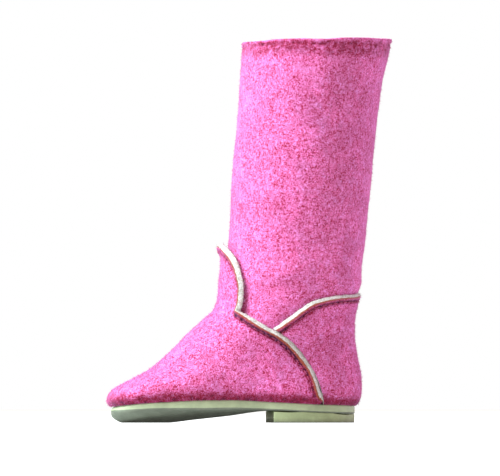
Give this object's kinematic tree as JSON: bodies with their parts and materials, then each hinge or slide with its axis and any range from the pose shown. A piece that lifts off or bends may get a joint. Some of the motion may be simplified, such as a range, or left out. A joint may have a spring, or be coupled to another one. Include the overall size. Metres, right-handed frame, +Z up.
{
  "type": "doll boot",
  "caption": "Doll's tall winter boot with a fleece-lined shaft, lapped vamp and heel counter, and a thin flat sole with a low heel lift.",
  "frame": {"origin": "on the floor under the middle of the whole boot's bounding box", "axes": "+X towards the toe, +Y towards the inner side of this right boot, +Z up"},
  "size_m": [0.0872, 0.0492, 0.1174],
  "materials": {
    "suede": "soft napped suede cloth, pink",
    "pile": "matt cream fleece pile",
    "sole": "satin pale grey-green moulded sheet"
  },
  "bodies": {
    "root": {"upper": "suede", "vamp": "suede", "heel_counter": "suede", "insole": "pile", "outsole": "sole", "heel_lift": "sole"}
  },
  "joints": []
}
